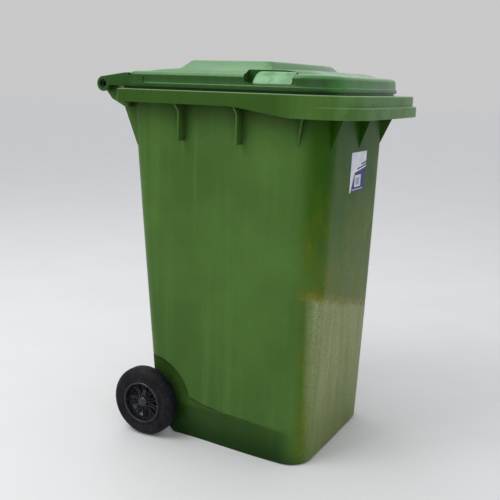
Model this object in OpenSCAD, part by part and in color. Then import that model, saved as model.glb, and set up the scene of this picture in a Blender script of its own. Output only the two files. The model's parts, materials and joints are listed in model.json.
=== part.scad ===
// Two-wheeled refuse bin of the 240 litre class, with a hinged lid.
// X is the width, the front faces -Y and +Z is up. The origin is on the ground, under the middle
// of the bin's box. Left is the -X side. Every piece is drawn where it sits with the lid shut.

/* [Body] */
// Half of the tub's width at the ground, outside
tub_half_base = 225; // [215:1:228]
// Half of the tub's width at the rim, outside
tub_half_top = 241; // [236:1:244]
// Distance from the origin to the front wall, at the ground
front_base = 253; // [245:1:258]
// Distance from the origin to the front wall, at the rim
front_top = 281; // [275:1:288]
// Distance from the origin to the rear wall, at the ground
rear_base = 224; // [218:1:230]
// Distance from the origin to the rear wall, at the rim
rear_top = 303; // [298:1:304]
// Thickness of the moulded walls
wall = 4; // [3:0.5:5]

/* [Rim] */
// Height of the rim's top face
rim_z = 979; // [975:1:981]
// Half of the width over the rim band
rim_half = 290; // [285:1:300]
// Depth of the band along the sides and rear
band_depth = 34; // [28:1:40]
// Depth of the band along the front
front_depth = 56; // [50:1:62]
// Distance from the origin to the upper front band, at its ends
lip_front = 351.5; // [345:0.5:356]
// How far the lower front band stands out past the upper one
lip_step = 13; // [8:0.5:16]
// How far the middle of the front bows out
front_bow = 12; // [4:0.5:16]

/* [Lid] */
// Half of the lid's width
lid_half = 275; // [268:1:277]
// Height of the lid's top
lid_top = 1057; // [1050:1:1062]
// Thickness of the lid's shell
lid_wall = 3.5; // [2.5:0.5:4]
// Distance from the origin back to the hinge axis
hinge_y = 356.5; // [354:0.5:360]
// Height of the hinge axis
hinge_z = 989.5; // [988:0.5:991]
// Outer radius of the lid's two hinge knuckles
knuckle_r = 20; // [18:0.5:20]

/* [Wheels] */
// Radius of the tyre
tyre_r = 100; // [95:1:100]
// Width of the tyre
tyre_w = 50; // [44:1:50]
// Distance from the origin back to the axle
axle_y = 228.5; // [224:0.5:232]
// Radius of the axle
axle_r = 10; // [9.5:0.5:10]
// Distance from the middle of the bin to a wheel's inner face
wheel_in = 229; // [228:0.5:231]
// Pairs of thin ribs on a wheel's face
spoke_pairs = 10; // [8:1:12]

/* [Hidden] */
$fn = 64;

green = [0.24, 0.42, 0.16];
black = [0.09, 0.09, 0.10];
steel = [0.62, 0.63, 0.64];

run_gap = 0.05;      // radial clearance of a running fit
cut = 1;             // how far a cutter runs past the face it cuts
axle_z = tyre_r;
band_z = rim_z - band_depth;
front_z = rim_z - front_depth;
step_z = rim_z - 28;
lid_z = rim_z + 6;
tub_levels = [0, 3, 9, 213, 372, 527, 678, 836, rim_z];

// Outlines. Each has the same number of points, so any two can be lofted.

corner_steps = 5;
front_steps = 6;

function arc(x, y, r, start) = [for (i = [0:corner_steps])
    [x + r * cos(start + 90 * i / corner_steps), y + r * sin(start + 90 * i / corner_steps)]];

function front_line(half, front, r) = [for (i = [1:front_steps - 1])
    [(half - r) * (2 * i / front_steps - 1), -front]];

function bowed(points, half, front, bow) = [for (p = points)
    p[1] >= 0 ? p : [p[0], p[1] * (1 + bow / front * (1 - pow(p[0] / half, 2)))]];

// Rounded rectangle: sides at x = half, front at y = -front, rear at y = rear
function outline(half, front, rear, r_front, r_rear, bow) = bowed(concat(
    arc(half - r_rear, rear - r_rear, r_rear, 0),
    arc(r_rear - half, rear - r_rear, r_rear, 90),
    arc(r_front - half, r_front - front, r_front, 180),
    front_line(half, front, r_front),
    arc(half - r_front, r_front - front, r_front, 270)), half, front, bow);

// Solid through a stack of outlines, each at its own height
module loft(rings, levels) {
    n = len(rings[0]);
    last = len(rings) - 1;
    points = [for (k = [0:last]) for (p = rings[k]) [p[0], p[1], levels[k]]];
    bottom = [for (i = [0:n - 1]) i];
    top = [for (i = [n - 1:-1:0]) last * n + i];
    sides = [for (k = [0:last - 1]) for (i = [0:n - 1]) let (a = k * n + i, b = k * n + (i + 1) % n)
        each [[a, a + n, b + n], [a, b + n, b]]];
    polyhedron(points = points, faces = concat([bottom, top], sides), convexity = 6);
}

// A profile drawn in Y and Z, made into a plate from x = low to x = high
module plate_x(low, high) {
    translate([low, 0, 0]) rotate([90, 0, 90]) linear_extrude(high - low) children();
}

// A round bar along X
module rod_x(low, high, r) {
    translate([low, 0, 0]) rotate([0, 90, 0]) cylinder(r = r, h = high - low);
}

module both_sides() {
    children();
    mirror([1, 0, 0]) children();
}

// Tub

function mix(a, b, t) = a + (b - a) * t;
function rise(z) = z / rim_z;
function tub_half(z) = mix(tub_half_base, tub_half_top, rise(z));
function tub_front(z) = mix(front_base, front_top, rise(z)) + 12 * rise(z) * (1 - rise(z));
function tub_rear(z) = mix(rear_base, rear_top, rise(z)) + 8 * rise(z) * (1 - rise(z));
function edge_inset(z) = z == 0 ? 8 : z == 3 ? 3 : 0;

function tub_ring(z, grow) = let (g = grow - edge_inset(z))
    outline(tub_half(z) + g, tub_front(z) + g, tub_rear(z) + g, mix(65, 85, rise(z)) + g,
        mix(48, 50, rise(z)) + g, 3);

recess_x = 208;      // half the width between the two wheel recesses
recess_r = 134;
tuck_z = 97;         // top of the shallow tuck that runs forward from each recess
tuck_front = -192;

// The space taken out of the tub for a wheel, thickened by grow for the tub's inside
module wheel_recess(grow) {
    inner = recess_x - grow;
    translate([0, axle_y, axle_z]) rod_x(inner, rim_half, recess_r + grow);
    intersection() {
        translate([0, 0, -cut]) linear_extrude(axle_z + recess_r)
            polygon([[inner, 320], [inner, axle_y - recess_r],
                [tub_half_base + 1.5 - grow, tuck_front], [rim_half, tuck_front], [rim_half, 320]]);
        plate_x(inner - cut, rim_half + cut) offset(delta = grow)
            polygon([[320, -cut], [tuck_front, -cut], [tuck_front, tuck_z], [-10, tuck_z], [23, 99.4],
                [68, 106.4], [96, 114], [320, 114]]);
    }
}

// The channel across the rear of the bottom, in which the axle lies
module axle_channel(grow) {
    plate_x(-rim_half, rim_half) offset(delta = grow)
        polygon([[156, -cut], [192, 29], [201, 60], [201, 128], [214, 141], [320, 141], [320, -cut]]);
}

module tub_form(levels, grow) {
    difference() {
        loft([for (z = levels) tub_ring(z, grow)], levels);
        both_sides() wheel_recess(-grow);
        axle_channel(-grow);
    }
}

floor_z = 10;

module tub_inside() {
    tub_form([floor_z, 213, 372, 527, 678, 836, rim_z + cut], -wall);
}

// The floor is pressed up between a border and two runners
module floor_relief() {
    for (x = [-141, -44, 53]) translate([x, -205, -cut]) cube([88, 325, cut + 5]);
}

// Rim band with the two-step lifting lip round the front

function upper_ring(inset) = outline(rim_half - inset, lip_front - inset, rear_top + 2.5 - inset,
    94 - inset, 16 - inset, front_bow);
function lower_ring(inset) = outline(rim_half - inset, lip_front + lip_step - inset,
    rear_top + 2.5 - inset, 104 - inset, 16 - inset, front_bow);

module rim_form(inset, top_drop, bottom) {
    translate([0, 0, bottom]) linear_extrude(rim_z - top_drop - bottom) polygon(upper_ring(inset));
    translate([0, 0, bottom]) linear_extrude(step_z - top_drop - bottom) polygon(lower_ring(inset));
}

module rim_band() {
    difference() {
        rim_form(0, 0, front_z);
        rim_form(wall, wall, front_z - cut);
        plate_x(-rim_half - cut, rim_half + cut)
            polygon([[-205, front_z - cut], [-205, front_z], [-50, band_z], [320, band_z],
                [320, front_z - cut]]);
    }
}

// Fins between the wall and the band

fin_z = 850;

module side_fin(y) {
    translate([0, y + 2.5, 0]) rotate([90, 0, 0]) linear_extrude(5)
        polygon([[220, fin_z], [269, fin_z], [269, 925], [287, 944], [287, rim_z - 2], [220, rim_z - 2]]);
}

// A fin with a slanted edge, which stands out along +X. Its foot is 84 from the point it turns about.
module slant_fin(top) {
    rotate([90, 0, 0]) linear_extrude(5, center = true)
        polygon([[60, fin_z - 8], [84, fin_z - 8], [top, 917], [165, 950], [165, rim_z - 2],
            [60, rim_z - 2]]);
}

module fins() {
    intersection() {
        translate([0, 0, fin_z - 10]) linear_extrude(rim_z - fin_z + 9) polygon(upper_ring(1));
        union() {
            both_sides() {
                side_fin(118);
                side_fin(-54);
                translate([171, -154, 0]) rotate([0, 0, -40]) slant_fin(117);
                translate([155, -195, 0]) rotate([0, 0, -72]) slant_fin(117);
            }
            translate([0, -198, 0]) rotate([0, 0, -90]) slant_fin(111);
        }
    }
}

// Handle and hinge lugs, moulded on the rear

lug_in = 226;
lug_out = 249;
grip_r = 16;
pin_r = 10;

// A lug's side view: a ring of radius r on a bracket whose underside passes through knee
module lug_profile(r, knee) {
    polygon([[290, rim_z], [320, rim_z], [hinge_y - 14, hinge_z + 13], [hinge_y, hinge_z],
        [hinge_y + 9, hinge_z - 17], knee, [303, 930], [290, 930]]);
    translate([hinge_y, hinge_z]) circle(r);
}

// One upright web under each outer lug, down the rear wall
module lug_webs() {
    both_sides() plate_x(lug_in - 3.5, lug_in + 1.5)
        polygon([[262, 828], [277, 828], [320, 930], [335, 945], [335, 952], [262, 952]]);
}

module handle() {
    difference() {
        union() {
            both_sides() plate_x(lug_in, lug_out) lug_profile(knuckle_r - 0.5, [346, 950]);
            for (x = [-20, 14]) plate_x(x, x + 6) lug_profile(grip_r + 2, [334, 952]);
            translate([0, hinge_y, hinge_z]) rod_x(-lug_in, lug_in, grip_r);
        }
        both_sides() translate([0, hinge_y, hinge_z]) {
            rod_x(180, lug_out + cut, pin_r + run_gap);
            rod_x(30, 222, grip_r - wall);
        }
    }
}

// Ribs and bosses that carry the axle in its channel

boss_out = 222;

module axle_mounts() {
    difference() {
        union() {
            for (x = [40, 120, recess_x - 6]) both_sides() plate_x(x, x + 6) {
                polygon([[190, 50], [212, 72], [axle_y + 14, axle_z - 14], [axle_y + 20, axle_z],
                    [axle_y + 16, 146], [190, 146]]);
                translate([axle_y, axle_z]) circle(20);
            }
            both_sides() translate([0, axle_y, axle_z]) rod_x(recess_x - 8, boss_out, 17);
        }
        translate([0, axle_y, axle_z]) rod_x(-rim_half, rim_half, axle_r + run_gap);
    }
}

module bin_body() {
    color(green) {
        difference() {
            union() {
                tub_form(tub_levels, 0);
                rim_band();
                fins();
                lug_webs();
            }
            tub_inside();
            floor_relief();
        }
        handle();
        axle_mounts();
    }
}

// Lid

lid_front = 305;     // distance from the origin to the lid's front, at its ends
lid_rear = 284;
lid_corner = 88;
scoop = [[-203, 1001], [-75, 1060]];      // Y and Z span of the hand scoop in each side

function lid_ring(half, front, rear, r_front, r_rear, inset) = outline(half - inset, front - inset,
    rear - inset, max(r_front - inset, 8), max(r_rear - inset, 8), front_bow);

// The skirt's outline, drawn in by side, by rear at the rear, and by the shell's inset
function skirt_ring(side, rear, inset) = lid_ring(lid_half - side, lid_front - side * 1.25,
    lid_rear - rear, lid_corner - side, 24, inset);

// The lid's outer form, or its inner form when inset and drop are the shell's thickness
module lid_form(inset, drop, bottom) {
    loft([skirt_ring(0, 0, inset), skirt_ring(2, 1, inset), skirt_ring(5, 4, inset),
        skirt_ring(12, 10, inset)], [bottom, 1013 - drop, 1020 - drop, 1025 - drop]);
    loft([lid_ring(261, 264, 264, 74, 24, inset), lid_ring(250, 240, 205, 66, 24, inset),
        lid_ring(238, 222, 130, 60, 24, inset)], [1022 - drop, 1030 - drop, 1035.5 - drop]);
    loft([lid_ring(259, 138, 154, 34, 30, inset), lid_ring(209, 115, 131, 24, 22, inset),
        lid_ring(203, 110, 126, 20, 18, inset), lid_ring(194, 102, 118, 16, 14, inset)],
        [1024 - drop, 1052 - drop, 1055.5 - drop, lid_top - drop]);
    translate([inset - lid_half, 230, bottom])
        cube([2 * (lid_half - inset), 316 - 230 - inset, 1014 - drop - bottom]);
}

// The hand scoops in the sides and the notches that clear the body's lugs, widened by grow
module lid_cutouts(grow) {
    both_sides() {
        translate([240 - grow, scoop[0][0] - grow, scoop[0][1] - grow])
            cube([60, scoop[1][0] - scoop[0][0] + 2 * grow, scoop[1][1] - scoop[0][1] + 2 * grow]);
        translate([218 - grow, 285 - grow, lid_z - 2 * cut])
            cube([arm_in - 218 + 2 * grow, 40, 40]);
    }
}

// The sloping grip bar that closes each scoop from outside
module grip_bar() {
    translate([0, -96, 0]) rotate([90, 0, 0]) linear_extrude(110)
        polygon([[246, 1031], [251, 1030], [258, 1022], [265, 1011], [273.4, 998], [269.5, 996],
            [261.5, 1009], [254.5, 1019.5], [249, 1026.5], [246, 1027]]);
}

// A thin lip under the lid, inside its skirt, that keeps rain and light out of the gap
module drip_lip() {
    seal_z = rim_z + 0.6;
    difference() {
        union() {
            translate([0, 0, lid_z + 2]) linear_extrude(3) polygon(skirt_ring(0, 0, 2.5));
            translate([0, 0, seal_z]) linear_extrude(lid_z + 5 - seal_z) polygon(skirt_ring(0, 0, 6.5));
        }
        translate([0, 0, rim_z]) linear_extrude(20) polygon(skirt_ring(0, 0, 9));
    }
}

arm_in = 250;
arm_out = 275;
head_depth = 12;     // depth of the recess for a hinge pin's head
head_r = 11.5;

module lid_arm() {
    plate_x(arm_in, arm_out) {
        polygon([[279, lid_z + 1], [hinge_y, lid_z + 1], [hinge_y, hinge_z + knuckle_r],
            [284, 1020], [279, 1020]]);
        translate([hinge_y, hinge_z]) circle(knuckle_r);
    }
}

buffer_places = [[255, -228], [256, 205]];

module lid() {
    color(green) difference() {
        union() {
            difference() {
                difference() {
                    lid_form(0, 0, lid_z);
                    lid_cutouts(0);
                }
                difference() {
                    lid_form(lid_wall, lid_wall, lid_z - cut);
                    lid_cutouts(lid_wall);
                }
            }
            drip_lip();
            both_sides() {
                grip_bar();
                lid_arm();
                for (p = buffer_places) translate([p[0], p[1], 988]) cylinder(r = 9, h = 32);
            }
        }
        both_sides() {
            translate([0, hinge_y, hinge_z]) {
                rod_x(arm_in - cut, arm_out + cut, pin_r + run_gap);
                rod_x(arm_out - head_depth, arm_out + cut, head_r);
            }
            for (p = buffer_places) translate([p[0], p[1], 988 - cut]) cylinder(r = 4, h = 14 + cut);
        }
    }
}

// Hinge pins: a hollow pin with a head, a split end and a snap rib beyond the lug
module hinge_pin() {
    shoulder = arm_out - head_depth;
    tip = 186;
    color(black) translate([0, hinge_y, hinge_z]) difference() {
        union() {
            rod_x(tip, shoulder + 0.5, pin_r);
            rod_x(shoulder + 0.3, shoulder + 3.5, head_r - 0.4);
            rod_x(214, 217, pin_r + 0.8);
        }
        rod_x(tip + 30, shoulder + 4.5, 6.5);
        rod_x(tip - cut, tip + 26, 6.5);
        translate([tip - cut, -1.5, -15]) cube([24, 3, 30]);
    }
}

// Rubber buffers under the lid, which meet the top of the rim
module lid_buffers() {
    color(black) both_sides() for (p = buffer_places) translate([p[0], p[1], 0]) {
        translate([0, 0, rim_z + 0.3]) cylinder(r = 7.5, h = 988 - rim_z - 0.3);
        translate([0, 0, 988]) cylinder(r = 4, h = 12);
    }
}

// A thin label that lies on the front wall
module front_label() {
    color("white") intersection() {
        translate([-50, -300, 726]) cube([112, 60, 106]);
        difference() {
            loft([for (z = [678, 836]) tub_ring(z, 0.5)], [678, 836]);
            loft([for (z = [678, 836]) tub_ring(z, 0)], [678, 836]);
        }
    }
}

// Wheels, drawn on the right and mirrored for the left

wheel_mid = wheel_in + tyre_w / 2;
wheel_out = wheel_in + tyre_w;
rim_seat = 60;       // radius at which the tyre meets the hub's rim
key_r = 56;          // bottom of the groove that keys them together
latch_x = 256;
axle_end = 266;

// Turns a profile of radius and X about the axle
module turn() {
    translate([0, axle_y, axle_z]) rotate([0, 90, 0]) rotate_extrude() children();
}

module tyre() {
    shoulder = 20;
    outer = [for (a = [90:-15:0])
        [tyre_r - shoulder * (1 - cos(a)), wheel_out - shoulder * (1 - sin(a))]];
    inner = [for (a = [0:15:90])
        [tyre_r - shoulder * (1 - cos(a)), wheel_in + shoulder * (1 - sin(a))]];
    color(black) turn() polygon(concat([[rim_seat, wheel_in + 3], [rim_seat, wheel_mid - 6],
        [key_r, wheel_mid - 6], [key_r, wheel_mid + 6], [rim_seat, wheel_mid + 6],
        [rim_seat, wheel_out - 3]], outer, inner));
}

web_x = 248;
tower_r = 8;
boss_r = 15.5;       // outer radius of the hub's centre boss

module wheel_hub() {
    color(black) difference() {
        union() {
            turn() {
                polygon([[rim_seat, wheel_in + 3], [rim_seat, wheel_mid - 6], [key_r, wheel_mid - 6],
                    [key_r, wheel_mid + 6], [rim_seat, wheel_mid + 6], [rim_seat, wheel_out - 3],
                    [58, wheel_out - 1], [56, wheel_out - 1], [53, 269], [47, 259], [38, web_x + 4],
                    [axle_r, web_x + 4],
                    [axle_r, web_x], [50, web_x], [54, wheel_in + 3]]);
                translate([0, wheel_in + 0.5]) square([boss_r, 264 - wheel_in - 0.5]);
                translate([0, 263]) square([boss_r - 2.5, 5]);
            }
            translate([0, axle_y, axle_z]) {
                for (i = [0:spoke_pairs - 1], side = [-1, 1])
                    rotate([360 * (i + 0.5) / spoke_pairs, 0, 0])
                        translate([web_x + 2, 3.4 * side - 1.2, 13.5]) cube([12, 2.4, 36]);
                translate([latch_x, 0, 14]) cylinder(r = tower_r, h = 20);
            }
        }
        translate([0, axle_y, axle_z]) {
            rod_x(wheel_in, 270, axle_r + run_gap);
            rod_x(wheel_in, 249, 12 + run_gap);
            translate([latch_x, 0, 5]) cylinder(r = 3.55, h = 15);
            translate([latch_x, 0, 16]) cylinder(r = 5.55, h = 20);
        }
    }
}

// Plain bearing sleeve between hub and axle
module hub_bush() {
    color("ivory") turn() translate([axle_r + run_gap, wheel_in + 0.5]) square([12 - axle_r - run_gap, 19.5]);
}

// Domed cap over the hub's centre and the end of the axle
cap_r = 15.3;
dome_r = 22.5;

module hub_cap() {
    color(black) turn() difference() {
        union() {
            translate([0, 264.3]) square([cap_r, 7.2]);
            intersection() {
                translate([0, 277.4 - dome_r]) circle(dome_r, $fn = 96);
                translate([0, 271.4]) square([cap_r, 10]);
            }
        }
        translate([-cut, 264.3 - cut]) square([boss_r - 2.5 + run_gap + cut, 3.8 + cut]);
    }
}

// Spring-loaded pin that drops into the axle's groove and holds the wheel on
module latch_pin() {
    color(steel) translate([latch_x, axle_y, axle_z]) {
        translate([0, 0, 8.2]) cylinder(r = 3.5, h = 8.2);
        translate([0, 0, 16.2]) cylinder(r = 5.5, h = 3.8);
    }
}

spring_low = 20.2;
spring_high = 30;
spring_turns = 5;
wire_r = 0.5;
coil_r = 4.2;
wire_sides = 6;
coil_steps = 14;

function coil_point(i, k) = let (turn_angle = 360 * i / coil_steps, a = 360 * k / wire_sides,
    r = coil_r + wire_r * cos(a)) [r * cos(turn_angle), r * sin(turn_angle),
    spring_low + wire_r + (spring_high - spring_low - 2 * wire_r) * i / (coil_steps * spring_turns)
    + wire_r * sin(a)];

module latch_spring() {
    rings = coil_steps * spring_turns;
    points = [for (i = [0:rings]) for (k = [0:wire_sides - 1]) coil_point(i, k)];
    ends = [[for (k = [0:wire_sides - 1]) k], [for (k = [wire_sides - 1:-1:0]) rings * wire_sides + k]];
    skin = [for (i = [0:rings - 1]) for (k = [0:wire_sides - 1])
        let (a = i * wire_sides + k, b = i * wire_sides + (k + 1) % wire_sides)
        each [[a, a + wire_sides, b + wire_sides], [a, b + wire_sides, b]]];
    color(steel) translate([latch_x, axle_y, axle_z]) polyhedron(points, concat(ends, skin), 8);
}

// Plug that closes the latch's tower
module latch_plug() {
    color(black) translate([latch_x, axle_y, axle_z + spring_high + 0.2]) cylinder(r = 5.5, h = 3.6);
}

module axle_spacer() {
    color(black) turn() translate([axle_r + run_gap, boss_out]) square([5, 6.7]);
}

module wheel_axle() {
    color(steel) turn() difference() {
        polygon([[0, -axle_end], [axle_r - 1.5, -axle_end], [axle_r, 1.5 - axle_end],
            [axle_r, axle_end - 1.5], [axle_r - 1.5, axle_end], [0, axle_end]]);
        for (x = [-latch_x, latch_x]) translate([7.6, x - 4.2]) square([5, 8.4]);
    }
}

module left() {
    mirror([1, 0, 0]) children();
}

bin_body();
lid();
left() hinge_pin();  // left_hinge_pin
hinge_pin();  // right_hinge_pin
lid_buffers();
front_label();
wheel_axle();
left() axle_spacer();  // left_axle_spacer
axle_spacer();  // right_axle_spacer
left() tyre();  // left_tyre
tyre();  // right_tyre
left() wheel_hub();  // left_wheel_hub
wheel_hub();  // right_wheel_hub
left() hub_bush();  // left_hub_bush
hub_bush();  // right_hub_bush
left() hub_cap();  // left_hub_cap
hub_cap();  // right_hub_cap
left() latch_pin();  // left_latch_pin
latch_pin();  // right_latch_pin
left() latch_spring();  // left_latch_spring
latch_spring();  // right_latch_spring
left() latch_plug();  // left_latch_plug
latch_plug();  // right_latch_plug
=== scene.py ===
"""Wheelie bin: the looks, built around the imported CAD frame.

Shapes are worked out in millimetres, in the frame's own axes (X width, -Y front, Z up), and
turned into metres when a mesh is made. The body, lid, wheels and label are detailed meshes that
stand for their CAD nodes; the small hidden parts keep their CAD shape and get a material.
"""

import json
import math

import bmesh
import bpy
import numpy as np
from mathutils import Matrix, Vector


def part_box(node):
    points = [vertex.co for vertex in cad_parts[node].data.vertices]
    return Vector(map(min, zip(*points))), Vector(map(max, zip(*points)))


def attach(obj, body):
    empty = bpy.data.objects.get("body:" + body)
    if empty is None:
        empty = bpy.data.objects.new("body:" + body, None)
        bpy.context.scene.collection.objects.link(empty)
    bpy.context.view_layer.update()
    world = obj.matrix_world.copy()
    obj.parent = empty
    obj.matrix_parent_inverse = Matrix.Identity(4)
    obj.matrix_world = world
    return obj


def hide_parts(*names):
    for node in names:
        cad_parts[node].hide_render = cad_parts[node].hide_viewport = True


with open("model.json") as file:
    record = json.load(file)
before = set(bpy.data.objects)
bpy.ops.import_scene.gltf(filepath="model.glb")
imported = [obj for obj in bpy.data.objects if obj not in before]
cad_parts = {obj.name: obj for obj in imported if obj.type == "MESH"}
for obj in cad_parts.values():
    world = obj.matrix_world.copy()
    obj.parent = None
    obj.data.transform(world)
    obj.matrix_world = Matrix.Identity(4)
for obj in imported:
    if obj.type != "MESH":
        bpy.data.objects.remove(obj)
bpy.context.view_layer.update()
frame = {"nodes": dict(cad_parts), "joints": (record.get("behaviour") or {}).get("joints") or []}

MM = 0.001
FULL_TURN = 2 * math.pi

# ---- sizes from the frame, in mm


def mm_box(node):
    low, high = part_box(node)
    return [v / MM for v in low], [v / MM for v in high]


joints = {j["name"]: j for j in frame["joints"]}
HINGE_Y, HINGE_Z = (v / MM for v in joints["lid_hinge"]["pos_m"][1:])
AXLE_Y, AXLE_Z = (v / MM for v in joints["left_wheel_spin"]["pos_m"][1:])
body_low, body_high = mm_box("bin_body")
tyre_low, tyre_high = mm_box("right_tyre")

RIM_HALF = body_high[0]
RIM_Z = 979.0
BAND_DEPTH = 34.0
FRONT_DEPTH = 56.0
STEP_Z = RIM_Z - 28.0
BOW = 12.0
LIP_STEP = 13.0
LIP_FRONT = -body_low[1] - BOW - LIP_STEP
RIM_REAR = 305.5
WALL = 4.0
LID_WALL = 3.5
LID_Z = RIM_Z + 6.0
TYRE_R = AXLE_Z
WHEEL_IN, WHEEL_OUT = tyre_low[0], tyre_high[0]

# ---- mesh helpers


def make(name, verts_mm, faces):
    """A mesh object from points in mm, with its faces turned outwards."""
    mesh = bpy.data.meshes.new(name)
    mesh.from_pydata([tuple(c * MM for c in v) for v in verts_mm], [], faces)
    bm = bmesh.new()
    bm.from_mesh(mesh)
    bmesh.ops.recalc_face_normals(bm, faces=bm.faces)
    bm.to_mesh(mesh)
    bm.free()
    obj = bpy.data.objects.new(name, mesh)
    bpy.context.scene.collection.objects.link(obj)
    return obj


def settle(obj):
    """Applies an object's modifiers to its mesh."""
    graph = bpy.context.evaluated_depsgraph_get()
    mesh = bpy.data.meshes.new_from_object(obj.evaluated_get(graph))
    old = obj.data
    obj.modifiers.clear()
    obj.data = mesh
    bpy.data.meshes.remove(old)
    return obj


def boolean(target, how, tool):
    mod = target.modifiers.new("combine", "BOOLEAN")
    mod.operation = how
    mod.solver = "MANIFOLD"
    mod.object = tool
    settle(target)


def combine(target, how, tools):
    """Boolean of target with each tool in turn; the tools are used up."""
    for tool in tools:
        boolean(target, how, tool)
        bpy.data.objects.remove(tool)
    return target


def join(target, tools):
    """Adds the tools to the target."""
    return combine(target, "UNION", tools)


def carve(target, tools):
    """Cuts the tools out of the target."""
    return combine(target, "DIFFERENCE", tools)


def rounded(obj, width_mm, segments=2, angle=40):
    """Rounds an object's sharp edges."""
    mod = obj.modifiers.new("round", "BEVEL")
    mod.width = width_mm * MM
    mod.segments = segments
    mod.limit_method = "ANGLE"
    mod.angle_limit = math.radians(angle)
    return settle(obj)


def smooth(obj, angle=32):
    """Smooth shading that keeps edges sharper than the angle."""
    mesh = obj.data
    mesh.polygons.foreach_set("use_smooth", [True] * len(mesh.polygons))
    mesh.set_sharp_from_angle(angle=math.radians(angle))
    return obj


def mirrored(obj, name):
    """A copy on the other side of X = 0."""
    mesh = obj.data.copy()
    mesh.transform(Matrix.Scale(-1, 4, (1, 0, 0)))
    mesh.flip_normals()
    twin = bpy.data.objects.new(name, mesh)
    bpy.context.scene.collection.objects.link(twin)
    return twin


def pair(build):
    """Makes a piece on the right and its mirror image on the left."""
    right = build()
    return [right, mirrored(right, right.name + "_l")]


def stack(name, rings):
    """Closed solid through rings of (x, y, z) points that all have the same count."""
    n = len(rings[0])
    verts = [p for ring in rings for p in ring]
    faces = []
    for k in range(len(rings) - 1):
        for i in range(n):
            j = (i + 1) % n
            faces.append((k * n + i, k * n + j, (k + 1) * n + j, (k + 1) * n + i))
    last = (len(rings) - 1) * n
    faces.append(tuple(range(n)))
    faces.append(tuple(last + i for i in range(n)))
    return make(name, verts, faces)


def prism(name, profile, low, high, axis="X"):
    """A flat profile made into a plate between low and high along an axis."""
    order = {"X": (2, 0, 1), "Y": (0, 2, 1), "Z": (0, 1, 2)}[axis]
    rings = [[tuple((a, b, t)[i] for i in order) for a, b in profile] for t in (low, high)]
    return stack(name, rings)


def rod(name, low, high, r, y, z, sides=64, edge=0.0):
    """A round bar along X with its ends chamfered by edge."""
    stops = [(low, r), (high, r)]
    if edge:
        stops = [(low, r - edge), (low + edge, r), (high - edge, r), (high, r - edge)]
    rings = []
    for x, radius in stops:
        rings.append([(x, y + radius * math.cos(t), z + radius * math.sin(t))
                      for t in np.linspace(0, FULL_TURN, sides, endpoint=False)])
    return stack(name, rings)


def lathe(name, profile, y, z, sides=128):
    """A closed profile of (radius, x) turned about an axle along X at y, z."""
    rings = []
    for t in np.linspace(0, FULL_TURN, sides, endpoint=False):
        c, s = math.cos(t), math.sin(t)
        rings.append([(x, y + r * c, z + r * s) for r, x in profile])
    n = len(profile)
    verts = [p for ring in rings for p in ring]
    faces = []
    for k in range(sides):
        here, there = k * n, (k + 1) % sides * n
        for i in range(n):
            j = (i + 1) % n
            faces.append((here + i, here + j, there + j, there + i))
    return make(name, verts, faces)


def rounded_profile(points, radius, steps=3):
    """A closed 2-D outline with every corner rounded by up to radius."""
    out = []
    n = len(points)
    for i in range(n):
        a, b, c = (np.array(points[(i + k) % n], float) for k in (-1, 0, 1))
        u, v = a - b, c - b
        lu, lv = np.linalg.norm(u), np.linalg.norm(v)
        reach = min(radius, lu * 0.45, lv * 0.45)
        p, q = b + u / lu * reach, b + v / lv * reach
        for t in np.linspace(0, 1, steps + 1):
            out.append(tuple((1 - t) ** 2 * p + 2 * t * (1 - t) * b + t * t * q))
    return out


# ---- outlines seen from above

ARC_STEPS = 16
FRONT_STEPS = 22
REAR_STEPS = 14
SIDE_STEPS = 30


def outline(half, front, rear, r_front, r_rear, bow=0.0):
    """Rounded rectangle as (x, y) points, anticlockwise, with a front that bows out."""
    def arc(x, y, r, start):
        turns = np.radians(start + np.linspace(0, 90, ARC_STEPS + 1))
        return [(x + r * math.cos(t), y + r * math.sin(t)) for t in turns]

    def line(a, b, steps):
        return [(a[0] + (b[0] - a[0]) * t, a[1] + (b[1] - a[1]) * t)
                for t in np.linspace(0, 1, steps + 1)[1:-1]]

    arcs = [arc(half - r_rear, rear - r_rear, r_rear, 0),
            arc(r_rear - half, rear - r_rear, r_rear, 90),
            arc(r_front - half, r_front - front, r_front, 180),
            arc(half - r_front, r_front - front, r_front, 270)]
    steps = (REAR_STEPS, SIDE_STEPS, FRONT_STEPS, SIDE_STEPS)
    points = []
    for i in range(4):
        points += arcs[i] + line(arcs[i][-1], arcs[(i + 1) % 4][0], steps[i])
    out = []
    for x, y in points:
        if y < 0:
            y *= 1 + bow / front * max(0.0, 1 - (x / half) ** 2)
        out.append((x, y))
    return out


def at(ring, z):
    return [(x, y, z) for x, y in ring]


def mix(a, b, t):
    return a + (b - a) * t


# ---- the tub

# Each pair is the size at the floor and at the rim
TUB_HALF = (225, 241)
TUB_FRONT = (253, 281)
TUB_REAR = (224, 303)
TUB_FRONT_CORNER = (65, 85)
TUB_REAR_CORNER = (48, 50)
FRONT_BELLY = 12
REAR_BELLY = 8
TUB_BOW = 3.0
FLOOR = 10.0
PAST = 5.0  # how far a cutter reaches past what it cuts
CUT_HALF = 300  # half width of the cutters that pass through a side


def tub_ring(z, grow):
    """The tub's outline at height z, moved out by grow."""
    t = z / RIM_Z
    belly = t * (1 - t)
    front = mix(*TUB_FRONT, t) + FRONT_BELLY * belly
    rear = mix(*TUB_REAR, t) + REAR_BELLY * belly
    return outline(mix(*TUB_HALF, t) + grow, front + grow, rear + grow,
                   mix(*TUB_FRONT_CORNER, t) + grow, mix(*TUB_REAR_CORNER, t) + grow, TUB_BOW)


def tub_solid(name, grow, bottom, top, edge):
    """The tub's plain form between two heights, with a rounded lower edge."""
    rings = []
    for a in np.linspace(0, math.pi / 2, 6):
        z = bottom + edge * (1 - math.cos(a))
        rings.append(at(tub_ring(z, grow - edge * (1 - math.sin(a))), z))
    for z in np.linspace(bottom + edge, top, 40)[1:]:
        rings.append(at(tub_ring(z, grow), z))
    return stack(name, rings)


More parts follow.
